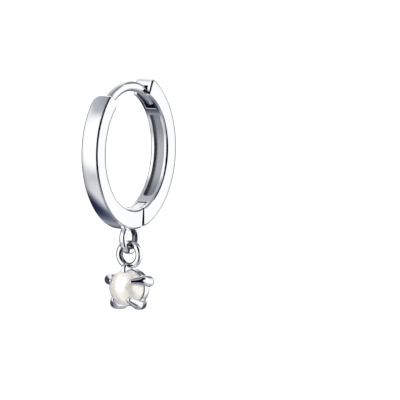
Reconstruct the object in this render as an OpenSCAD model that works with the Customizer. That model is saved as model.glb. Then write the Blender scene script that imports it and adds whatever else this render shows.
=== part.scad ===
// Hinged hoop earring with a pearl drop in five claws.
// The origin is the middle of the ear post's wire at the top of its arc, where the ear carries it.
// +Z is up, the hoop's axis lies along X, and the front of the earring looks toward -Y.

/* [Hoop] */
// Outer diameter of the closed hoop
hoop_d = 14.15; // [14:0.05:14.3]
// Radial thickness of the band
band_t = 1.65; // [1.6:0.01:1.7]
// Width of the band along the hoop's axis
band_w = 1.8; // [1.6:0.05:2]
// Rounding of the band's long edges
band_edge_r = 0.1; // [0.05:0.01:0.15]
// Angle from the top to the outer edge of the front half's end
front_end_angle = 41; // [40:0.5:46]
// Slope of the front half's end face below the level
front_end_slope = 27; // [18:0.5:30]
// Rounding of the inner corner of the front half's end
nose_r = 0.6; // [0.4:0.05:0.6]
// Angle from the top to the back half's end face
back_end_angle = 24.5; // [22:0.5:28]
// Rounding of the outer corner of the back half's end
back_corner_r = 0.25; // [0.1:0.05:0.3]

/* [Post and catch] */
// Diameter of the ear post's wire
post_d = 0.88; // [0.8:0.02:0.9]
// Angle from the top to the post's tip, inside the catch
post_tip_angle = 43.5; // [36:0.5:44]
// Width of the catch slot and of the long recess
slot_w = 1; // [0.98:0.01:1.05]
// Depth of the catch slot from the band's inner face
slot_depth = 0.98; // [0.96:0.01:1.05]
// Angle from the top to the end of the catch slot
slot_end_angle = 48.3; // [46:0.1:49]
// Angle from the top to the start of the long recess, past the cross bar
recess_start_angle = 57; // [55:0.5:60]
// Angle from the top to the end of the long recess
recess_end_angle = 142.4; // [130:0.2:144]
// Depth of the long recess
recess_depth = 0.3; // [0.2:0.05:0.9]

/* [Hinge] */
// Distance of the seam behind the hoop's middle, at the inner face
seam_y = 1.21; // [1.1:0.01:1.3]
// Gap between the halves at the inner face
seam_gap = 0.04; // [0.03:0.01:0.06]
// Distance of the pin behind the hoop's middle
pin_y = 1.8; // [1.75:0.01:1.85]
// Distance from the pin's middle to the band's outer face
pin_cover = 0.4; // [0.38:0.01:0.45]
// Diameter of the pin
pin_d = 0.4; // [0.36:0.02:0.44]
// Length of the pin, which ends under the side faces
pin_length = 1.4; // [1.3:0.05:1.45]
// Width of the front half's tongue between the two cheeks
tongue_w = 0.8; // [0.7:0.05:0.85]
// Angle from the bottom to the tongue's end, at the inner face
tongue_angle = 25.8; // [24:0.2:27]
// Clearance round the tongue
tongue_gap = 0.05; // [0.04:0.01:0.06]
// Rounding of the cheeks' lower corner
cheek_corner_r = 0.12; // [0.1:0.01:0.15]
// Clearance of the cheeks' corner as the hoop opens
swing_gap = 0.03; // [0.02:0.01:0.05]

/* [Hanging loop] */
// Distance of the loop and the drop's ring behind the hoop's middle
hang_y = 0.15; // [0:0.05:0.3]
// Outer radius of the loop under the hoop
loop_outer_r = 1.43; // [1.4:0.01:1.46]
// Radial thickness of the loop
loop_t = 0.61; // [0.58:0.01:0.62]
// Width of the loop along the hoop's axis
loop_w = 0.46; // [0.4:0.01:0.48]
// How far the loop's top is sunk into the band
loop_sink = 0.5; // [0.46:0.01:0.52]
// Outer radius of the drop's ring
ring_outer_r = 1.18; // [1.17:0.01:1.22]
// Radial thickness of the drop's ring
ring_t = 0.42; // [0.38:0.01:0.42]
// Width of the drop's ring from front to back
ring_w = 0.56; // [0.5:0.01:0.6]
// Rounding of the edges of the loop and the ring
loop_edge_r = 0.1; // [0.08:0.01:0.12]
// Play between the loop and the ring that hangs in it
hang_gap = 0.14; // [0.12:0.01:0.16]

/* [Pearl and setting] */
// Diameter of the pearl
pearl_d = 3.28; // [3.2:0.02:3.34]
// Distance of the pearl's middle below the hoop's middle
pearl_drop = 12.47; // [12.42:0.01:12.52]
// Distance of the pearl's middle in front of the drop's ring
pearl_forward = 0.38; // [0.3:0.02:0.45]
// Gap between the pearl and its seat
seat_gap = 0.02; // [0.01:0.005:0.04]
// Distance of a side claw's knee from the pearl's middle line
claw_ring_r = 1.94; // [1.9:0.01:2]
// Radius of a side claw at its knee
claw_knee_r = 0.46; // [0.44:0.01:0.5]
// Radius of a side claw at its back end
claw_back_r = 0.53; // [0.51:0.01:0.56]
// Radius of an upper side claw's tip
upper_tip_r = 0.14; // [0.12:0.01:0.18]
// Radius of a lower side claw's tip
lower_tip_r = 0.25; // [0.22:0.01:0.28]
// Radius of the claw under the ring, at its blunt front end
top_claw_r = 0.36; // [0.34:0.01:0.4]
// Outer radius of the gallery cup
cup_r = 1.71; // [1.7:0.01:1.75]
// Radius of the opening in the back of the cup
cup_hole_r = 0.85; // [0.7:0.05:1]

/* [Hidden] */
$fn = 96;

// Overshoot of a cutting shape past what it cuts
over = 1;

hoop_r = hoop_d / 2;
inner_r = hoop_r - band_t;
far = hoop_r + 2;

// The post lies against the inside of the band, a hair inside its inner face
post_inset = 0.03;
post_line_r = inner_r + post_inset + post_d / 2;
post_root_angle = front_end_angle + 5;
hoop_z = -post_line_r;

// Points and directions in the hoop's plane are [toward the back, up] from the hoop's middle
function from_top(angle, r) = [r * sin(angle), r * cos(angle)];
function from_bottom(angle, r) = [r * sin(angle), -r * cos(angle)];
function unit(v) = v / norm(v);

// Front half's end face: a point on its outer edge, the way down along it and the way out of it
end_edge = from_top(-front_end_angle, hoop_r);
end_along = [cos(front_end_slope), -sin(front_end_slope)];
end_out = [sin(front_end_slope), cos(front_end_slope)];
nose_start = end_edge - nose_r * end_out;
nose_back = nose_start * end_along;
nose_reach = inner_r + nose_r;
nose_travel = -nose_back - sqrt(nose_back * nose_back - nose_start * nose_start + nose_reach * nose_reach);
nose_middle = nose_start + nose_travel * end_along;

// Outer corner of the back half's end
back_corner_turn = asin(back_corner_r / (hoop_r - back_corner_r));
back_corner_middle = from_top(back_end_angle + back_corner_turn, hoop_r - back_corner_r);
back_end_out = [-cos(back_end_angle), sin(back_end_angle)];

// Hinge: the pin, the cheeks' front face and the rounded lower corner that passes the front half
pin_ring_r = hoop_r - pin_cover;
pin_at = [pin_y, -sqrt(pin_ring_r * pin_ring_r - pin_y * pin_y)];
cheek_y = seam_y + seam_gap;
corner_ring_r = hoop_r - cheek_corner_r;
corner_y = cheek_y + cheek_corner_r;
cheek_corner_middle = [corner_y, -sqrt(corner_ring_r * corner_ring_r - corner_y * corner_y)];
cheek_reach = norm(cheek_corner_middle - pin_at) + cheek_corner_r + swing_gap;

// The front half's seam leans back from the inner face, just clear of the circle that the cheeks' corner sweeps
seam_top = [seam_y, -sqrt(inner_r * inner_r - seam_y * seam_y)];
seam_to_pin = pin_at - seam_top;
seam_lean = asin(cheek_reach / norm(seam_to_pin)) - atan2(seam_to_pin[0], -seam_to_pin[1]);
seam_foot = [seam_y - (far + seam_top[1]) * tan(seam_lean), -far];

// The tongue's end is a radial face that runs into a circle round the pin
tongue_line = from_bottom(tongue_angle, 1);
tongue_foot = (pin_at * tongue_line) * tongue_line;
tongue_reach = norm(tongue_foot - pin_at);
tongue_root_y = 0.5;

// Loop and ring
loop_z = hoop_z - hoop_r + loop_sink - loop_outer_r;
loop_inner_r = loop_outer_r - loop_t;
ring_inner_r = ring_outer_r - ring_t;
ring_z = loop_z - loop_inner_r + hang_gap - ring_inner_r;
swing_axis_z = loop_z - loop_outer_r + loop_t / 2;

// Setting, in the pearl's own frame
pearl_y = hang_y - pearl_forward;
pearl_z = hoop_z - pearl_drop;
seat_r = pearl_d / 2 + seat_gap;
cup_front_y = 0.3;
cup_side_y = 1.15;
cup_back_y = 1.5;
cup_back_r = 1.25;
knee_step = 0.01;

// The points of a claw are [place round the pearl, distance from its middle line, distance behind its middle].
// Each side claw runs from its thick back end over its knee to its tip, and has a mirror image across the pearl.
BACK = 0;
KNEE = 1;
TIP = 2;
upper_claw = [[18, claw_ring_r - 0.1, 0.82], [21.2, claw_ring_r, -0.19], [32.2, 1.38, -0.98]];
lower_claw = [[-57.2, claw_ring_r - 0.15, 0.84], [-51.8, claw_ring_r, -0.19], [-51.7, 1.36, -1.06]];
top_claw_back = [90, 1.66, 1.07];
top_claw_front = [90, 1.69, -0.55];

// Stands a shape drawn in the hoop's plane upright round the hoop's middle
module in_hoop_plane() {
    translate([0, 0, hoop_z])
        rotate([90, 0, 90])
            children();
}

// Extrudes an outline in the hoop's plane, centred on the band
module across(width) {
    linear_extrude(height = width, center = true)
        children();
}

// A bar's section with rounded corners, t thick and w wide
module bar_section(t, w, r) {
    square([t - 2 * r, w], center = true);
    square([t, w - 2 * r], center = true);
    for (i = [-1, 1], j = [-1, 1])
        translate([i * (t / 2 - r), j * (w / 2 - r)])
            circle(r = r, $fn = 24);
}

// A flat ring with rounded edges, its axis along Z
module flat_ring(outer_r, t, w, r) {
    rotate_extrude()
        translate([outer_r - t / 2, 0])
            bar_section(t, w, r);
}

// What a rounding takes off a corner: middle of the rounding, its radius, and the two ways out of the faces
module corner_off(middle, r, way_a, way_b) {
    difference() {
        polygon([
            middle,
            middle + 2 * r * way_a,
            middle + 4 * r * unit(way_a + way_b),
            middle + 2 * r * way_b
        ]);
        translate(middle)
            circle(r = r);
    }
}

// A groove round the hoop's axis between two angles from the top
module groove(r1, r2, w, angle_1, angle_2) {
    rotate([0, 0, 90 - angle_2])
        rotate_extrude(angle = angle_2 - angle_1)
            translate([r1, -w / 2])
                square([r2 - r1, w]);
}

module band() {
    flat_ring(hoop_r, band_t, band_w, band_edge_r);
}

// Everything that isn't the front half: behind the seam and above the end face
module not_front() {
    polygon([
        seam_foot,
        seam_top,
        [0, 0],
        end_edge + 3 * end_along,
        end_edge - 2 * end_along,
        [-hoop_r, far + 2],
        [far, far + 2],
        [far, -far]
    ]);
}

// Everything that isn't the back half: before the cheeks and ahead of the end face
module not_back() {
    polygon([
        [cheek_y, -far],
        [cheek_y, -inner_r / 2],
        [0, 0],
        from_top(back_end_angle, far + 2),
        [-far, far + 2],
        [-far, -far]
    ]);
}

// Side outline of the tongue, made larger by gap for the slot that takes it
module tongue_outline(gap) {
    aside = gap * [cos(tongue_angle), sin(tongue_angle)];
    translate(pin_at)
        circle(r = tongue_reach + gap);
    polygon([
        [tongue_root_y, pin_at[1]],
        [tongue_root_y, -inner_r + 2 * over],
        (inner_r - 2 * over) * tongue_line + aside,
        tongue_foot + aside,
        pin_at
    ]);
}

module tongue() {
    across(tongue_w)
        intersection() {
            tongue_outline(0);
            difference() {
                circle(r = hoop_r - band_edge_r / 2);
                circle(r = inner_r);
                translate([tongue_root_y - 2 * far, -far])
                    square([2 * far, 2 * far]);
            }
        }
}

module pin_hole(d, length) {
    translate([pin_at[0], pin_at[1], -length / 2])
        cylinder(d = d, h = length);
}

module ear_post() {
    rotate([0, 0, 90 - post_tip_angle])
        rotate_extrude(angle = post_tip_angle + post_root_angle)
            translate([post_line_r, 0])
                circle(d = post_d, $fn = 48);
}

module hanging_loop() {
    translate([0, hang_y, loop_z])
        rotate([0, 90, 0])
            flat_ring(loop_outer_r, loop_t, loop_w, loop_edge_r);
}

module front_hoop() {
    color("#d9dce2") {
        in_hoop_plane() {
            difference() {
                union() {
                    difference() {
                        band();
                        across(band_w + over)
                            not_front();
                        across(band_w + over)
                            corner_off(nose_middle, nose_r, end_out, -unit(nose_middle));
                    }
                    tongue();
                    ear_post();
                }
                pin_hole(pin_d + 2 * swing_gap, band_w);
            }
        }
        hanging_loop();
    }
}

module back_hoop() {
    color("#c9ccd4")
        in_hoop_plane()
            difference() {
                band();
                across(band_w + over)
                    not_back();
                across(band_w + over)
                    corner_off(cheek_corner_middle, cheek_corner_r, [-1, 0], unit(cheek_corner_middle));
                across(band_w + over)
                    corner_off(back_corner_middle, back_corner_r, back_end_out, unit(back_corner_middle));
                across(tongue_w + 2 * tongue_gap)
                    tongue_outline(tongue_gap);
                groove(inner_r - over, inner_r + slot_depth, slot_w, back_end_angle - 5, slot_end_angle);
                groove(inner_r - over, inner_r + recess_depth, slot_w, recess_start_angle, recess_end_angle);
                pin_hole(pin_d + 0.02, pin_length + 0.04);
            }
}

module hinge_pin() {
    color("#b9bcc4")
        in_hoop_plane()
            pin_hole(pin_d, pin_length);
}

// A round rod from p to q whose radius goes from r1 to r2, with a round end at each
module rod(p, q, r1, r2) {
    way = q - p;
    length = norm(way);
    lean = asin((r1 - r2) / length);
    side = [cos(lean), sin(lean)];
    translate(p)
        rotate([0, acos(way[2] / length), atan2(way[1], way[0])])
            rotate_extrude($fn = 48)
                intersection() {
                    union() {
                        circle(r = r1);
                        translate([0, length])
                            circle(r = r2);
                        polygon([[0, 0], r1 * side, [0, length] + r2 * side, [0, length]]);
                    }
                    translate([0, -r1])
                        square([r1 + r2, length + r1 + r2]);
                }
}

// Turns a claw's point into x, y and z from the pearl's middle
function at(point) = [point[1] * cos(point[0]), point[2], point[1] * sin(point[0])];

module side_claws(points, tip_r) {
    for (side = [0, 1])
        mirror([side, 0, 0]) {
            rod(at(points[BACK]), at(points[KNEE]), claw_back_r, claw_knee_r);
            rod(at(points[KNEE]), at(points[TIP]), claw_knee_r - knee_step, tip_r);
        }
}

module gallery_cup() {
    rotate([-90, 0, 0])
        rotate_extrude()
            polygon([
                [cup_hole_r, cup_front_y],
                [cup_r, cup_front_y],
                [cup_r, cup_side_y],
                [cup_back_r, cup_back_y],
                [cup_hole_r, cup_back_y]
            ]);
}

module claw_setting() {
    color("#d2d5dc") {
        translate([0, pearl_y, pearl_z])
            difference() {
                union() {
                    gallery_cup();
                    rod(at(top_claw_back), at(top_claw_front), top_claw_r + 0.06, top_claw_r);
                    side_claws(upper_claw, upper_tip_r);
                    side_claws(lower_claw, lower_tip_r);
                    translate([0, pearl_forward, ring_z - pearl_z])
                        rotate([90, 0, 0])
                            flat_ring(ring_outer_r, ring_t, ring_w, loop_edge_r);
                }
                sphere(r = seat_r);
            }
    }
}

module pearl() {
    color("#ece7df")
        translate([0, pearl_y, pearl_z])
            sphere(d = pearl_d);
}

front_hoop();
back_hoop();
hinge_pin();
claw_setting();
pearl();
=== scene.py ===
import math

import bmesh
import bpy
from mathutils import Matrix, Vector


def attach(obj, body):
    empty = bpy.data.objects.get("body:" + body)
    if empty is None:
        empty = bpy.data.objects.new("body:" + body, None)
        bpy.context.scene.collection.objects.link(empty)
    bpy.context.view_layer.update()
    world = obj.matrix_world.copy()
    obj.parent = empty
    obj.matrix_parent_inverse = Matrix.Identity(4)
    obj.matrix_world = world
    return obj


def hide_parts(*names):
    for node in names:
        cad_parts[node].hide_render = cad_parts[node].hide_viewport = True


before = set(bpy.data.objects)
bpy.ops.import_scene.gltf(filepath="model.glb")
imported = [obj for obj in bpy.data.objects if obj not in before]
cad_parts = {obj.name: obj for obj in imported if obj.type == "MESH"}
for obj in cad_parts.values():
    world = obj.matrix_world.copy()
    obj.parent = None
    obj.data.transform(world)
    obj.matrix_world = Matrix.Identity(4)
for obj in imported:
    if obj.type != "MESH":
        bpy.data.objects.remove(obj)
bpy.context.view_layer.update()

# =========================================================================================================
# Front half of the hoop
# Cast sterling silver, polished and rhodium plated. The ear post's wire, the hinge tongue and the little
# hanging loop are soldered to it, so they are one piece with the band.
# =========================================================================================================

# Sizes are in millimetres and angles in degrees. Each piece is modelled round its own middle, and then
# settled in its place in metres. A point of two numbers lies in the hoop's plane, as (backward, up).
MM = 0.001
POST_R = 0.44
POST_LINE_R = 5.895
POST_ROOT, POST_TIP = 137, 46.5
HOOP_MIDDLE = (0, 0, -POST_LINE_R)
HOOP_R = 7.075
INNER_R = 5.425
BAND_W = 1.8
# The rounding of the rims, the outer face's dome, and the bulge of the side faces
EDGE_R = 0.13
CROWN = 0.075
BULGE = 0.065
# The end face: a point on its outer edge, its slope, and the rounding of its edges, of its far corner, whose
# cutter stands clear of the band by CORNER_SPARE, and of its nose
END_EDGE = (-4.6, 5.42)
END_SLOPE = 27
END_R = 0.23
CORNER_R = 1.3
CORNER_SPARE = 0.3
NOSE_R = 0.6
NOSE_CUTS = 14
# The seam between the halves, and the hinge
SEAM = (1.21, -5.288)
SEAM_LEAN = 7.36
PIN = (1.8, -6.4277)
PIN_HOLE_R = 0.23
TONGUE_W = 0.8
TONGUE_R = HOOP_R - 0.05
TONGUE_REACH = 1.177
TONGUE_ANGLE = 25.8
# The hanging loop
LOOP_MIDDLE = (0, 0.15, -13.90)
LOOP_W = 0.62
LOOP_HOLE_R = 0.82
LOOP_R = 1.43
RING_EDGE_R = 0.14
# Edges and faces are picked by these. A rim bends by more than RIM. The side faces lie further out than
# SIDE_FACE, the outer face than OUTER_FACE, the halves' ends higher than TOP, the seam's faces between
# SEAM_FRONT and SEAM_BACK, and the hinge, once it is in its place, lower than HINGE_TOP.
RIM = 28
SIDE_FACE = BAND_W / 2 - 0.01
OUTER_FACE = 6.9
TOP = 5
SEAM_FRONT, SEAM_BACK = 1.15, 1.6
HINGE_TOP = -10


def take_up(piece):
    """Selects this piece alone, for the operators to work on."""
    bpy.ops.object.select_all(action="DESELECT")
    bpy.context.view_layer.objects.active = piece
    piece.select_set(True)


def start(name, kind, **settings):
    """Adds a primitive with nothing else selected."""
    bpy.ops.object.select_all(action="DESELECT")
    getattr(bpy.ops.mesh, "primitive_" + kind + "_add")(**settings)
    made = bpy.context.object
    made.name = name
    return made


def pick(piece, kind, test):
    """In edit mode, selects only the vertices, edges or faces whose middle passes the test."""
    bpy.ops.mesh.select_mode(type=kind)
    bpy.ops.mesh.select_all(action="DESELECT")
    mesh = bmesh.from_edit_mesh(piece.data)
    for part in {"VERT": mesh.verts, "EDGE": mesh.edges, "FACE": mesh.faces}[kind]:
        if kind == "VERT":
            middle = part.co
        elif kind == "EDGE":
            middle = (part.verts[0].co + part.verts[1].co) / 2
        else:
            middle = part.calc_center_median()
        if test(middle, part):
            part.select_set(True)
    mesh.select_flush_mode()
    bmesh.update_edit_mesh(piece.data)


def use(piece, kind, **settings):
    """Adds a modifier and applies it."""
    take_up(piece)
    added = piece.modifiers.new(kind.lower(), kind)
    for field, value in settings.items():
        setattr(added, field, value)
    bpy.ops.object.modifier_apply(modifier=added.name)


def bar_end(name, width, r1, r2):
    """The cross-section of a flat bar from radius r1 to r2, left in edit mode."""
    made = start(name, "plane", size=1)
    bpy.ops.object.mode_set(mode="EDIT")
    bpy.ops.transform.resize(value=(width, r2 - r1, 1))
    bpy.ops.transform.translate(value=(0, (r1 + r2) / 2, 0))
    return made


def section(name, width, r1, r2, first, stops):
    """A flat bar spun round the X axis from the angle first, left in edit mode. A stop is an angle and the
    number of steps up to it."""
    made = bar_end(name, width, r1, r2)
    bpy.ops.object.mode_set(mode="OBJECT")
    made.rotation_euler = (math.radians(first), 0, 0)
    bpy.ops.object.transform_apply(location=False, rotation=True, scale=True)
    bpy.ops.object.mode_set(mode="EDIT")
    bpy.ops.mesh.select_all(action="SELECT")
    at = first
    for stop, steps in stops:
        bpy.ops.mesh.spin(steps=steps, angle=math.radians(at - stop), center=(0, 0, 0), axis=(1, 0, 0))
        at = stop
    bpy.ops.mesh.select_all(action="SELECT")
    bpy.ops.mesh.remove_doubles(threshold=0.0001)
    bpy.ops.mesh.normals_make_consistent(inside=False)
    return made


def slice_off(piece, point, normal, reach=3):
    """In edit mode, cuts the piece by a plane across the hoop, within reach of the point, and closes it."""
    pick(piece, "FACE", lambda m, f: math.hypot(m.y - point[0], m.z - point[1]) < reach)
    bpy.ops.mesh.bisect(plane_co=(0, *point), plane_no=(0, *normal), use_fill=True, clear_outer=True)


def radius(v):
    """How far a point lies from the X axis."""
    return math.hypot(v.y, v.z)


def bend(edge):
    """How far an edge's two faces are turned from each other, in degrees."""
    return math.degrees(edge.calc_face_angle(0))


def soften(piece, width, segments, test):
    """In edit mode, rounds the edges that pass the test."""
    pick(piece, "EDGE", test)
    bpy.ops.mesh.bevel(offset=width, segments=segments, profile=0.5, affect="EDGES", clamp_overlap=False)


def mark(piece, weight, test):
    """In edit mode, gives the edges that pass the test their share of the rounding to come."""
    pick(piece, "EDGE", test)
    bpy.ops.transform.edge_bevelweight(value=weight)


def round_over(piece, width):
    """Rounds the marked edges, each by its share of the width."""
    use(
        piece, "BEVEL", width=width, segments=5, profile=0.3, limit_method="WEIGHT", use_clamp_overlap=False,
        miter_outer="MITER_ARC",
    )


def dome(piece):
    """In edit mode, raises the outer face in a faint dome across the band's width."""
    pick(piece, "EDGE", lambda m, e: radius(m) > HOOP_R - 0.05 and abs(m.x) < 0.01)
    bpy.ops.mesh.subdivide(number_cuts=5)
    for i in (1, 2, 3):
        x = BAND_W / 2 * (1 - i / 3)
        pick(piece, "VERT", lambda m, v: radius(m) > HOOP_R - 0.05 and abs(abs(m.x) - x) < 0.01)
        k = 1 + CROWN * (1 - (2 * x / BAND_W) ** 2) / HOOP_R
        bpy.ops.transform.resize(value=(1, k, k), center_override=(0, 0, 0))


def settle(piece, middle, angle=40):
    """Moves a finished piece to its place, in metres, and shades it smooth with its flat faces left flat."""
    take_up(piece)
    piece.location = Vector(middle) * MM
    piece.scale = (MM, MM, MM)
    bpy.ops.object.transform_apply(location=True, rotation=True, scale=True)
    bpy.ops.object.shade_smooth_by_angle(angle=math.radians(angle))
    use(piece, "WEIGHTED_NORMAL", keep_sharp=True, weight=90)


# The band is cut off at its end face and at the seam. Its long end steps leave room for the rounding there.
front = section("front_half", BAND_W, INNER_R, HOOP_R, 123, [(130, 1), (135, 1), (276, 94), (286, 1)])
slope = math.radians(END_SLOPE)
end_out = (math.sin(slope), math.cos(slope))
end_along = (math.cos(slope), -math.sin(slope))
slice_off(front, END_EDGE, end_out)
lean = math.radians(SEAM_LEAN)
slice_off(front, SEAM, (math.cos(lean), -math.sin(lean)))

# The end's inner corner, the nose, is rounded by cuts that touch the rounding one after another.
nose_start = [END_EDGE[i] - NOSE_R * end_out[i] for i in (0, 1)]
nose_back = sum(nose_start[i] * end_along[i] for i in (0, 1))
nose_reach = INNER_R + NOSE_R
travel = -nose_back - math.sqrt(nose_back ** 2 - nose_start[0] ** 2 - nose_start[1] ** 2 + nose_reach ** 2)
nose_middle = [nose_start[i] + travel * end_along[i] for i in (0, 1)]
first = math.degrees(math.atan2(end_out[1], end_out[0]))
last = math.degrees(math.atan2(-nose_middle[1], -nose_middle[0]))
for i in range(1, NOSE_CUTS):
    turn = math.radians(first + (last - first) * i / NOSE_CUTS)
    out = (math.cos(turn), math.sin(turn))
    slice_off(front, [nose_middle[k] + NOSE_R * out[k] for k in (0, 1)], out, 1.5)
bpy.ops.mesh.select_all(action="SELECT")
bpy.ops.mesh.dissolve_limited(angle_limit=math.radians(0.8))
bpy.ops.mesh.select_all(action="SELECT")
bpy.ops.mesh.remove_doubles(threshold=0.02)
dome(front)

# The rims are rounded a little, and the far rim and the end's top edge by all of END_R.
mark(front, EDGE_R / END_R, lambda m, e: (
    bend(e) > RIM and m.y < SEAM_FRONT and (m.x > SIDE_FACE or m.z < TOP)
))
mark(front, 1, lambda m, e: bend(e) > RIM and m.y < SEAM_FRONT and m.x < -SIDE_FACE)
mark(front, 1, lambda m, e: bend(e) > 23 and m.z > TOP and radius(m) > OUTER_FACE and abs(m.x) < SIDE_FACE)
bpy.ops.object.mode_set(mode="OBJECT")
round_over(front, END_R)


def round_bar(name, r, ring_r, first, last, steps):
    """A round wire bent round the X axis from one angle to another, with its ends' edges rounded."""
    made = start(name, "circle", vertices=40, radius=r, fill_type="NGON", location=(0, ring_r, 0))
    bpy.ops.object.transform_apply(location=True, rotation=True, scale=True)
    made.rotation_euler = (math.radians(first), 0, 0)
    bpy.ops.object.transform_apply(location=True, rotation=True, scale=True)
    bpy.ops.object.mode_set(mode="EDIT")
    bpy.ops.mesh.select_all(action="SELECT")
    bpy.ops.mesh.spin(steps=steps, angle=math.radians(first - last), center=(0, 0, 0), axis=(1, 0, 0))
    bpy.ops.mesh.select_all(action="SELECT")
    bpy.ops.mesh.normals_make_consistent(inside=False)
    soften(made, 0.05, 3, lambda m, e: bend(e) > 60)
    bpy.ops.object.mode_set(mode="OBJECT")
    return made


def flat_ring(name, width, r1, r2):
    """A closed ring round the X axis, sawn from flat bar, with its four edges cut off and softened."""
    made = bar_end(name, width, r1, r2)
    bpy.ops.mesh.delete(type="ONLY_FACE")
    bpy.ops.mesh.select_all(action="SELECT")
    bpy.ops.mesh.spin(steps=72, angle=math.tau, center=(0, 0, 0), axis=(1, 0, 0))
    bpy.ops.mesh.select_all(action="SELECT")
    bpy.ops.mesh.remove_doubles(threshold=0.0001)
    bpy.ops.mesh.normals_make_consistent(inside=False)
    soften(made, RING_EDGE_R, 1, lambda m, e: bend(e) > 60)
    soften(made, 0.05, 3, lambda m, e: bend(e) > 30)
    bpy.ops.object.mode_set(mode="OBJECT")
    return made


def move(piece, way):
    """Moves a piece that is still being made, and applies its turn and scale too."""
    take_up(piece)
    piece.location = way
    bpy.ops.object.transform_apply(location=True, rotation=True, scale=True)


def solder(piece, *others):
    """Joins other pieces to the first."""
    take_up(piece)
    for other in others:
        other.select_set(True)
    bpy.ops.object.join()


def carve(piece, cutter, finish=None):
    """Takes the cutter's shape out of the piece. The hollow may be lined with a darker silver of its own,
    which paints shade into it.
    """
    mode = "INDEX"
    if finish:
        cutter.data.materials.append(finish)
        mode = "TRANSFER"
    use(piece, "BOOLEAN", object=cutter, operation="DIFFERENCE", solver="EXACT", material_mode=mode)
    bpy.data.objects.remove(cutter, do_unlink=True)


def finish_faces(piece, finish, test):
    """Gives the faces that pass the test a darker silver of their own, as painted shade."""
    piece.data.materials.append(finish)
    take_up(piece)
    bpy.ops.object.mode_set(mode="EDIT")
    pick(piece, "FACE", test)
    piece.active_material_index = len(piece.data.materials) - 1
    bpy.ops.object.material_slot_assign()
    bpy.ops.object.mode_set(mode="OBJECT")


def pin_bar(name, r, length):
    """A bar along the hinge pin's line, to drill its hole with."""
    made = start(name, "cylinder", vertices=32, radius=r, depth=length, rotation=(0, math.pi / 2, 0))
    move(made, (0, *PIN))
    return made


def knuckle(name, width, r1, r2, reach, last):
    """The tongue, or the larger shape of the slot for it, with its end rounded about the pin."""
    made = section(name, width, r1, r2, 272, [(294, 11), (last, 1)])
    for turn in (8, 16, 24):
        a = math.radians(TONGUE_ANGLE - turn)
        out = (math.cos(a), math.sin(a))
        slice_off(made, [PIN[k] + reach * out[k] for k in (0, 1)], out)
    bpy.ops.object.mode_set(mode="OBJECT")
    return made


def linear(colour):
    """Linear red, green, blue and alpha of an sRGB hex colour."""
    steps = [int(colour[i:i + 2], 16) / 255 for i in (1, 3, 5)]
    return [s / 12.92 if s <= 0.04045 else ((s + 0.055) / 1.055) ** 2.4 for s in steps] + [1]


def add(tree, kind, sockets={}, **fields):
    """Adds a node. A socket is given a value, or another node's output to link to it."""
    made = tree.nodes.new("ShaderNode" + kind)
    for field, value in fields.items():
        setattr(made, field, value)
    for socket, value in sockets.items():
        if isinstance(value, bpy.types.NodeSocket):
            tree.links.new(value, made.inputs[socket])
        else:
            made.inputs[socket].default_value = value
    return made


# Polished sterling silver under rhodium plate is a clear mirror, a shade cooler than bare silver. The haze
# that buffing leaves, in clouds of about 1.1 mm, makes it a little less sharp here and there.
HAZE_PER_MM = 0.9
silver = bpy.data.materials.new("polished_rhodium_silver")
silver.use_nodes = True
tree = silver.node_tree
shader = tree.nodes["Principled BSDF"]
shader.inputs["Base Color"].default_value = linear("#f3f4f6")
shader.inputs["Metallic"].default_value = 1
place = add(tree, "TexCoord")
haze = add(tree, "TexNoise", {"Vector": place.outputs["Object"], "Scale": HAZE_PER_MM / MM, "Detail": 3})
polish = add(tree, "MapRange", {"Value": haze.outputs["Fac"], "To Min": 0.04, "To Max": 0.1})
tree.links.new(polish.outputs["Result"], shader.inputs["Roughness"])

# The same silver on the band. The buffing wheel rolls the flat side faces off toward their rims, so the rims
# turn grey first. A bump draws that, falling with the fourth power from the band's middle line.
banded = silver.copy()
banded.name = "polished_rhodium_silver_band"
tree = banded.node_tree
place = add(tree, "TexCoord")
out = add(tree, "VectorMath", {0: place.outputs["Object"], 1: (0, 0, POST_LINE_R * MM)}, operation="ADD")
flat = add(tree, "VectorMath", {0: out.outputs["Vector"], 1: (0, 1, 1)}, operation="MULTIPLY")
reach = add(tree, "VectorMath", {0: flat.outputs["Vector"]}, operation="LENGTH")
across = add(
    tree, "MapRange",
    {
        "Value": reach.outputs["Value"], "From Min": INNER_R * MM, "From Max": HOOP_R * MM,
        "To Min": -1, "To Max": 1,
    },
)
square = add(tree, "Math", {0: across.outputs["Result"], 1: across.outputs["Result"]}, operation="MULTIPLY")
fourth = add(tree, "Math", {0: square.outputs["Value"], 1: square.outputs["Value"]}, operation="MULTIPLY")
bulge = add(tree, "Math", {0: fourth.outputs["Value"], 1: -BULGE * MM}, operation="MULTIPLY")
bump = add(tree, "Bump", {"Height": bulge.outputs["Value"], "Distance": 1})
tree.links.new(bump.outputs["Normal"], tree.nodes["Principled BSDF"].inputs["Normal"])

# Painted shade: the inner walls of the loop and the ring get a darker silver, which draws a dark line round
# each hole.
dull = silver.copy()
dull.name = "unbuffed_silver"
dull.node_tree.nodes["Principled BSDF"].inputs["Base Color"].default_value = linear("#767b85")

# The faces in the joint were sawn. Their near-black colour is painted shade: almost no light gets in, and the
# joint reads as a fine line.
joint = silver.copy()
joint.name = "sawn_silver_joint_face"
joint.node_tree.nodes["Principled BSDF"].inputs["Base Color"].default_value = linear("#2a2c31")


def dull_inside(piece):
    """Gives a ring its silver, and its inner wall the darker silver of painted shade."""
    piece.data.materials.append(silver)
    finish_faces(piece, dull, lambda m, f: f.normal.y * m.y + f.normal.z * m.z < -0.35 * radius(m))


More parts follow.
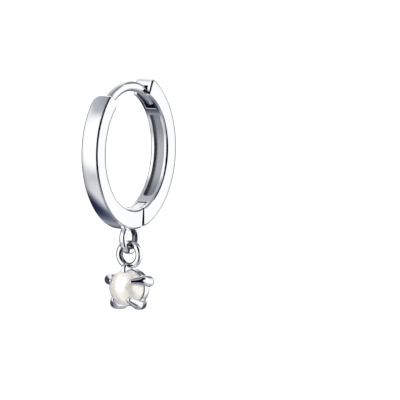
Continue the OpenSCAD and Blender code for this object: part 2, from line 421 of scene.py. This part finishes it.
# The end's far corner is rounded: a block is cut to a hollow quarter round, and taken off the corner.
corner = start("corner", "cube", size=1)
corner.scale = (CORNER_R + CORNER_SPARE, 3.5, CORNER_R + CORNER_SPARE)
corner.rotation_euler = (-slope, 0, 0)
middle = [END_EDGE[k] + end_out[k] * (CORNER_SPARE - CORNER_R) / 2 + end_along[k] * 0.6 for k in (0, 1)]
move(corner, ((CORNER_R - CORNER_SPARE - BAND_W) / 2, *middle))
inside = start(
    "corner_round", "cylinder", vertices=128, radius=CORNER_R, depth=6, rotation=(math.pi / 2 - slope, 0, 0)
)
move(inside, (CORNER_R - BAND_W / 2, *[END_EDGE[k] - CORNER_R * end_out[k] for k in (0, 1)]))
carve(corner, inside)
carve(front, corner)

post = round_bar("ear_post", POST_R, POST_LINE_R, POST_ROOT, POST_TIP, 45)
tongue = knuckle("tongue", TONGUE_W, INNER_R, TONGUE_R, TONGUE_REACH, 270 + TONGUE_ANGLE)
carve(tongue, pin_bar("pin_hole", PIN_HOLE_R, 1))
loop = flat_ring("hanging_loop", LOOP_W, LOOP_HOLE_R, LOOP_R)
dull_inside(loop)
move(loop, [LOOP_MIDDLE[k] - HOOP_MIDDLE[k] for k in range(3)])
front.data.materials.append(banded)
for part in (post, tongue):
    part.data.materials.append(silver)
solder(front, post, tongue, loop)
settle(front, HOOP_MIDDLE, 14)
# The seam's faces get the joint's painted shade.
finish_faces(front, joint, lambda m, f: (
    f.normal.y > 0.98 and SEAM_FRONT * MM < m.y < SEAM_BACK * MM and m.z < HINGE_TOP * MM
))
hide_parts("front_hoop")
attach(front, "front")


# =========================================================================================================
# Back half of the hoop
# Cast sterling silver like the front half. The catch slot that takes the ear post, and the long recess that
# saves silver, are cast in its inner face, with a cross bar left between them.
# =========================================================================================================

BACK_EDGE_R = 0.14
CHEEK_Y = 1.31
CHEEK_BACK = CHEEK_Y + 0.05
SLOT_W = 1.0
SLOT_R = 6.405
RECESS_R = 5.725
RECESS_CORNER_R = 0.35
TONGUE_SLOT_W = 0.92
TONGUE_SLOT_GAP = 0.05
TONGUE_SLOT_TURN = 2.4
CHEEK_HOLE_R = 0.21
CHEEK_HOLE_LENGTH = 1.44
# Each cutter starts well inside the hoop, and the one for the tongue's slot ends well outside it.
INSIDE_R, OUTSIDE_R = 4.4, 7.6

# The slot's and the recess's ends fall in the middle of a step, and the long end steps leave room for the
# rounding there.
rear = section(
    "back_half", BAND_W, INNER_R, HOOP_R, -83,
    [(-75, 1), (-53.4, 11), (-51.4, 1), (32, 42), (34, 1), (40.7, 3), (42.7, 1), (62, 10), (65.5, 1)],
)
slice_off(rear, (CHEEK_Y, -6.5), (-1, 0), 2)
dome(rear)
mark(rear, BACK_EDGE_R / END_R, lambda m, e: bend(e) > RIM and (
    abs(m.x) > SIDE_FACE and m.y > CHEEK_BACK and radius(m) < OUTER_FACE or radius(m) < 6.5 and m.z > 0
))
mark(rear, BACK_EDGE_R / END_R, lambda m, e: bend(e) > RIM and radius(m) > OUTER_FACE and (
    abs(m.x) > SIDE_FACE or m.y < CHEEK_BACK
))
mark(rear, 0.9, lambda m, e: bend(e) > 57 and m.z > TOP and radius(m) > OUTER_FACE and abs(m.x) < SIDE_FACE)
bpy.ops.object.mode_set(mode="OBJECT")
round_over(rear, END_R)

# Silver as it comes from the mould, pickled and not polished, rough enough to blur what it mirrors. It is
# also painted greyer than the polished silver, as shade in the hollows that it lines.
cast = bpy.data.materials.new("cast_silver_unpolished")
cast.use_nodes = True
shader = cast.node_tree.nodes["Principled BSDF"]
shader.inputs["Base Color"].default_value = linear("#b0b3b9")
shader.inputs["Metallic"].default_value = 1
shader.inputs["Roughness"].default_value = 0.34

# The slot and the recess are lined with the unpolished silver, painted greyer as shade.
slot = section("catch_slot", SLOT_W, INSIDE_R, SLOT_R, 41.7, [(70.5, 15)])
bpy.ops.object.mode_set(mode="OBJECT")
rear.data.materials.append(banded)
carve(rear, slot, cast)
recess = section("long_recess", SLOT_W, INSIDE_R, RECESS_R, -52.4, [(-47, 1), (33, 40)])
soften(recess, RECESS_CORNER_R, 6, lambda m, e: (
    bend(e) > 57 and m.z < -4 and abs(m.x) > 0.49 and abs(radius(e.verts[0].co) - radius(e.verts[1].co)) > 0.5
))
bpy.ops.object.mode_set(mode="OBJECT")
carve(rear, recess, cast)
tongue_slot = knuckle(
    "tongue_slot", TONGUE_SLOT_W, INSIDE_R, OUTSIDE_R, TONGUE_REACH + TONGUE_SLOT_GAP,
    270 + TONGUE_ANGLE + TONGUE_SLOT_TURN,
)
# The tongue's slot is lined with the joint's painted shade.
carve(rear, tongue_slot, joint)
carve(rear, pin_bar("pin_hole", CHEEK_HOLE_R, CHEEK_HOLE_LENGTH))

# The mouths of the slot and the recess are softened where the wheel has passed over them.
take_up(rear)
bpy.ops.object.mode_set(mode="EDIT")
soften(rear, 0.05, 3, lambda m, e: (
    bend(e) > 46 and abs(radius(m) - INNER_R) < 0.02 and abs(m.x) < 0.51 and m.z > -5
))
bpy.ops.object.mode_set(mode="OBJECT")
settle(rear, HOOP_MIDDLE, 14)
# The seam's faces get the joint's painted shade.
finish_faces(rear, joint, lambda m, f: (
    f.normal.y < -0.98 and m.y < CHEEK_BACK * MM and m.z < HINGE_TOP * MM
))
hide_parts("back_hoop")
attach(rear, "back")


# =========================================================================================================
# Hinge pin
# A plain silver wire across the hinge, cut flush under the side faces and hidden between the cheeks. Its CAD
# solid has the right shape, and gets the silver.
# =========================================================================================================

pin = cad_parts["hinge_pin"]
pin.data.materials.clear()
pin.data.materials.append(silver)


# =========================================================================================================
# Claw setting
# A cast silver cup with five claws round the pearl, and a ring soldered to its top claw. The ring hangs in
# the loop under the hoop.
# =========================================================================================================

PEARL_MIDDLE = (0, -0.23, -18.365)
SEAT_R = 1.66
RING_MIDDLE = (0, 0.15, -15.37)
RING_W = 0.66
RING_HOLE_R = 0.76
RING_R = 1.3
# The cup's front, the end of its straight side and its back, measured backward from the pearl's middle
CUP_FRONT, CUP_SIDE, CUP_BACK = 0.3, 1.15, 1.5
CUP_R = 1.71
CUP_BACK_R = 1.25
CUP_HOLE_R = 0.85
# A claw's points from root to tip: its angle round the pearl, its distance from the middle and how far behind
# it lies, with the wire's radius at each. Smoothing the line bends the knee between them.
UPPER_CLAW = ((18, 1.84, 0.82), (21.2, 1.94, -0.19), (31.6, 1.24, -1.12))
UPPER_RADII = (0.53, 0.5, 0.22)
LOWER_CLAW = ((-57.2, 1.79, 0.84), (-51.8, 1.94, -0.19), (-51.7, 1.36, -1.06))
LOWER_RADII = (0.53, 0.46, 0.27)
CLAW_STEPS = 16
KNEE_SMOOTHING = 14
CAP_ANGLES = (88, 80, 71, 62, 53, 44, 35, 26, 17, 8, 1)
# The top claw's width, length, and middle as (backward, up)
TAB_W = 0.5
TAB_LENGTH = 2.04
TAB_MIDDLE = (0.18, 1.6)


def claw_point(place, distance, behind, side):
    """A point of a claw, on the right side for 1 or the left for -1."""
    a = math.radians(place)
    return Vector((side * distance * math.cos(a), behind, distance * math.sin(a)))


def claw(name, points, radii):
    """A round tapered wire through the points, bent softly at its knee and rounded at both ends."""
    line = []
    for k in range(len(points) - 1):
        a, b = points[k], points[k + 1]
        for step in range(CLAW_STEPS):
            t = step / CLAW_STEPS
            line.append((a.lerp(b, t), radii[k] + (radii[k + 1] - radii[k]) * t))
    line.append((points[-1], radii[-1]))
    for smoothing in range(KNEE_SMOOTHING):
        middle = [
            tuple((line[k - 1][i] + 2 * line[k][i] + line[k + 1][i]) / 4 for i in (0, 1))
            for k in range(1, len(line) - 1)
        ]
        line = [line[0]] + middle + [line[-1]]
    caps = [math.radians(d) for d in CAP_ANGLES]
    head = (line[0][0] - line[1][0]).normalized()
    tail = (line[-1][0] - line[-2][0]).normalized()
    front_cap = [(line[0][0] + head * radii[0] * math.sin(c), radii[0] * math.cos(c)) for c in caps]
    back_cap = [(line[-1][0] + tail * radii[-1] * math.sin(c), radii[-1] * math.cos(c)) for c in caps[::-1]]
    line = front_cap + line + back_cap
    curve = bpy.data.curves.new(name, "CURVE")
    curve.dimensions = "3D"
    curve.bevel_depth = 1
    curve.bevel_resolution = 12
    curve.use_fill_caps = True
    spline = curve.splines.new("POLY")
    spline.points.add(len(line) - 1)
    for point, (at, r) in zip(spline.points, line):
        point.co = (*at, 1)
        point.radius = r
    made = bpy.data.objects.new(name, curve)
    bpy.context.collection.objects.link(made)
    take_up(made)
    bpy.ops.object.convert(target="MESH")
    made = bpy.context.object
    use(made, "REMESH", mode="VOXEL", voxel_size=0.03)
    use(made, "SMOOTH", factor=0.5, iterations=30)
    return made


def seat(room=0):
    """The pearl's room, to cut the cup and the claws to."""
    return start("seat", "ico_sphere", radius=SEAT_R + room, subdivisions=6)


ring = flat_ring("drop_ring", RING_W, RING_HOLE_R, RING_R)
dull_inside(ring)
ring.rotation_euler = (0, 0, math.pi / 2)
move(ring, [RING_MIDDLE[k] - PEARL_MIDDLE[k] for k in range(3)])

cup = start(
    "cup", "cylinder", vertices=96, radius=CUP_R, depth=CUP_SIDE - CUP_FRONT,
    rotation=(math.pi / 2, 0, 0), location=(0, (CUP_FRONT + CUP_SIDE) / 2, 0),
)
bpy.ops.object.transform_apply(location=True, rotation=True, scale=True)
bpy.ops.object.mode_set(mode="EDIT")
pick(cup, "FACE", lambda m, f: m.y > CUP_SIDE - 0.01)
bpy.ops.mesh.extrude_region_move(TRANSFORM_OT_translate={"value": (0, CUP_BACK - CUP_SIDE, 0)})
taper = CUP_BACK_R / CUP_R
bpy.ops.transform.resize(value=(taper, 1, taper), center_override=(0, CUP_BACK, 0))
soften(cup, 0.06, 3, lambda m, e: bend(e) > 17)
bpy.ops.object.mode_set(mode="OBJECT")
hole = start("cup_hole", "cylinder", vertices=64, radius=CUP_HOLE_R, depth=4, rotation=(math.pi / 2, 0, 0))
bpy.ops.object.transform_apply(location=True, rotation=True, scale=True)
cup.data.materials.append(silver)
# The cup's hole and the pearl's seat are lined with it too, painted greyer as shade.
carve(cup, hole, cast)
carve(cup, seat(0.05), cast)

claws = []
for side in (1, -1):
    for name, points, radii in (("upper", UPPER_CLAW, UPPER_RADII), ("lower", LOWER_CLAW, LOWER_RADII)):
        made = claw(name + "_claw", [claw_point(*p, side) for p in points], radii)
        carve(made, seat())
        claws.append(made)

# The top claw is a flat tab on edge with an arched top, and the ring is soldered in its back.
top = start(
    "top_claw", "plane", size=1, rotation=(0, math.pi / 2, 0), location=(-TAB_W / 2, *TAB_MIDDLE)
)
bpy.ops.object.transform_apply(location=True, rotation=True, scale=True)
bpy.ops.object.mode_set(mode="EDIT")
bpy.ops.mesh.select_all(action="SELECT")
bpy.ops.transform.resize(value=(1, TAB_LENGTH, 1), center_override=(0, *TAB_MIDDLE))
pick(top, "VERT", lambda m, v: m.z > TAB_MIDDLE[1] + 0.1)
bpy.ops.transform.translate(value=(0, 0, 0.1))
bpy.ops.mesh.bevel(offset=0.5, segments=6, affect="VERTICES", clamp_overlap=False)
bpy.ops.mesh.select_all(action="SELECT")
bpy.ops.mesh.extrude_region_move(TRANSFORM_OT_translate={"value": (TAB_W, 0, 0)})
bpy.ops.mesh.select_all(action="SELECT")
bpy.ops.mesh.normals_make_consistent(inside=False)
soften(top, 0.1, 1, lambda m, e: bend(e) > 57 and abs(m.x) > TAB_W / 2 - 0.01)
bpy.ops.object.mode_set(mode="OBJECT")
carve(top, seat())
for part in (top, *claws):
    part.data.materials.append(silver)
solder(cup, top, ring, *claws)
settle(cup, PEARL_MIDDLE)
cup.name = "pearl_setting"
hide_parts("claw_setting")
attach(cup, "drop")


# =========================================================================================================
# Pearl
# A round cream-white pearl, built up of thin layers of nacre, and so never quite a true sphere. It lies in
# the cup, and the tips of the five claws are pushed over it.
# =========================================================================================================

PEARL_R = 1.64
LUMP_SIZE = 1.2
LUMP_HEIGHT = 0.012

pearl = start("round_pearl", "ico_sphere", radius=PEARL_R, subdivisions=6)
lumps = bpy.data.textures.new("nacre_layers", "CLOUDS")
lumps.noise_scale = LUMP_SIZE
use(pearl, "DISPLACE", texture=lumps, strength=LUMP_HEIGHT, mid_level=0.9)
settle(pearl, PEARL_MIDDLE)

# Nacre sends back part of the light from its layers, like a soft metal, and part from its depth, like china.
# That gives a warm white with a wide soft highlight and a blurred mirror image of the claws.
nacre = bpy.data.materials.new("cream_white_nacre")
nacre.use_nodes = True
shader = nacre.node_tree.nodes["Principled BSDF"]
shader.inputs["Base Color"].default_value = linear("#f7f3ec")
shader.inputs["Metallic"].default_value = 0.45
shader.inputs["Roughness"].default_value = 0.24
pearl.data.materials.clear()
pearl.data.materials.append(nacre)
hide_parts("pearl")
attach(pearl, "drop")


# =========================================================================================================
# Studio
# A pale floor, the soft tent of light round the earring, and the camera.
# =========================================================================================================

FLOOR_Z = -20.5
bpy.ops.object.select_all(action="DESELECT")
bpy.ops.mesh.primitive_plane_add(size=1.2, location=(0, 0, FLOOR_Z * MM))
floor = bpy.context.object
floor.name = "studio_floor"
# A sheet of white acrylic, lit from below, so that it stays white and takes hardly any shadow. The silver
# does not mirror it, because the tent below has the greys that the silver shows.
acrylic = bpy.data.materials.new("white_acrylic_lit_from_below")
acrylic.use_nodes = True
shader = acrylic.node_tree.nodes["Principled BSDF"]
shader.inputs["Base Color"].default_value = linear("#8c8c8c")
shader.inputs["Roughness"].default_value = 0.12
shader.inputs["Specular IOR Level"].default_value = 0.4
shader.inputs["Emission Color"].default_value = [1, 1, 1, 1]
shader.inputs["Emission Strength"].default_value = 0.95
floor.data.materials.append(acrylic)
floor.visible_glossy = False

# The tent is white at the height of the earring, and darker toward the ground and the ceiling. Each step is
# a height, from -1 straight below to 1 straight above, and its colour.
TENT = [
    (-1, "#7c8088"), (-0.85, "#a0a4ab"), (-0.72, "#b6b9bf"), (-0.5, "#ccced3"), (-0.3, "#dddfe3"),
    (-0.08, "#f4f5f6"), (0.05, "#ffffff"), (0.55, "#ffffff"), (0.68, "#eeeff1"), (0.78, "#bcbfc5"),
    (0.86, "#b2b5bb"), (0.93, "#a3a6ad"), (1, "#5c6068"),
]
world = bpy.data.worlds.new("light_tent")
bpy.context.scene.world = world
world.use_nodes = True
tree = world.node_tree
tree.nodes.clear()
way = add(tree, "TexCoord")
height = add(tree, "SeparateXYZ", {"Vector": way.outputs["Generated"]})
fraction = add(tree, "MapRange", {"Value": height.outputs["Z"], "From Min": -1, "From Max": 1})
tent = add(tree, "ValToRGB", {"Fac": fraction.outputs["Result"]})
steps = tent.color_ramp.elements
while len(steps) < len(TENT):
    steps.new(1)
for step, (z, colour) in zip(steps, TENT):
    step.position = (z + 1) / 2
    step.color = linear(colour)
shade = tent.outputs["Color"]


def lobe(below, azimuth, elevation, half_angle, edge, colour, strength=1):
    """Lays a soft round patch of light or dark over what is below it, in that direction from the earring."""
    a, e = math.radians(azimuth), math.radians(elevation)
    aim = (math.sin(a) * math.cos(e), -math.cos(a) * math.cos(e), math.sin(e))
    dot = add(tree, "VectorMath", {0: way.outputs["Generated"], 1: aim}, operation="DOT_PRODUCT")
    mask = add(
        tree, "MapRange",
        {
            "Value": dot.outputs["Value"],
            "From Min": math.cos(math.radians(half_angle + edge)),
            "From Max": math.cos(math.radians(half_angle - edge)),
        },
        interpolation_type="SMOOTHSTEP",
    )
    paint = [c * strength for c in linear(colour)[:3]] + [1]
    mix = add(tree, "Mix", {0: mask.outputs["Result"], 6: below, 7: paint}, data_type="RGBA")
    return mix.outputs[2]


# The patches lie over one another in this order: two bright panels and a pale one, the dim sides and back of
# the room, black cards that draw the dark lines on the silver, and three shades low on the left. Where each
# is follows from the dark and light that the silver shows in the photograph's view.
for patch in (
    (130, 15, 48, 12, "#ffffff", 1.08),
    (-35, -62, 22, 14, "#e2e3e7"),
    (-15, 14, 36, 12, "#ffffff", 1.12),
    (-97, -5, 46, 12, "#484b53"),
    (-149, -14, 25, 7, "#3c3f46"),
    (188, -6, 26, 9, "#4c5058"),
    (165, 62, 16, 8, "#8d9098"),
    (180, 31, 12, 8, "#5a5d65"),
    (38, 3, 25, 5, "#0c0e14"),
    (48, 24, 20, 6, "#0c0e14"),
    (74, 42, 19, 6, "#0c0e14"),
    (94, 52, 16, 6, "#0c0e14"),
    (54, -22, 16, 8, "#0c0e14"),
    (68, -37, 11, 8, "#20242e"),
    (-142, -48, 14, 15, "#9a9da4"),
    (-114, -52, 12, 12, "#6c7386"),
    (-92, -48, 14, 14, "#222c4a"),
):
    shade = lobe(shade, *patch)

# The camera itself sees plain white behind the earring.
seen = add(tree, "LightPath")
white = add(tree, "Mix", {0: seen.outputs["Is Camera Ray"], 6: shade, 7: [1, 1, 1, 1]}, data_type="RGBA")
glow = add(tree, "Background", {"Color": white.outputs[2]})
add(tree, "OutputWorld", {"Surface": glow.outputs["Background"]})

# A softbox high in front, which the silver does not mirror, lights the pearl and the floor.
bpy.ops.object.light_add(type="AREA", location=(-0.1, -0.3, 0.7))
lamp = bpy.context.object
lamp.name = "softbox"
lamp.data.size = 1.0
lamp.data.energy = 10
lamp.visible_glossy = False
lamp.rotation_euler = lamp.location.to_track_quat("Z", "Y").to_euler()

# The camera has the photograph's viewing angle and a parallel view. The picture's middle lies RIGHT_PX and
# BELOW_PX from the hoop's middle, as in the photograph.
PHOTO_PX = 400
PX_PER_MM = 10.98
RIGHT_PX, BELOW_PX = 71.5, 49.13
CAMERA_AWAY = 0.2
azimuth = math.radians(30.82)
elevation = math.radians(4.23)
right = Vector((math.cos(azimuth), math.sin(azimuth), 0))
level = math.cos(elevation)
back = Vector((math.sin(azimuth) * level, -math.cos(azimuth) * level, math.sin(elevation)))
up = back.cross(right)
aim = Vector(HOOP_MIDDLE) * MM + right * (RIGHT_PX / PX_PER_MM * MM) - up * (BELOW_PX / PX_PER_MM * MM)
bpy.ops.object.camera_add(location=aim + back * CAMERA_AWAY)
camera = bpy.context.object
camera.name = "camera"
camera.rotation_euler = back.to_track_quat("Z", "Y").to_euler()
camera.data.type = "ORTHO"
camera.data.ortho_scale = PHOTO_PX / PX_PER_MM * MM
camera.data.clip_start = 0.001
camera.data.clip_end = 10
bpy.context.scene.camera = camera
bpy.context.scene.view_settings.view_transform = "Standard"
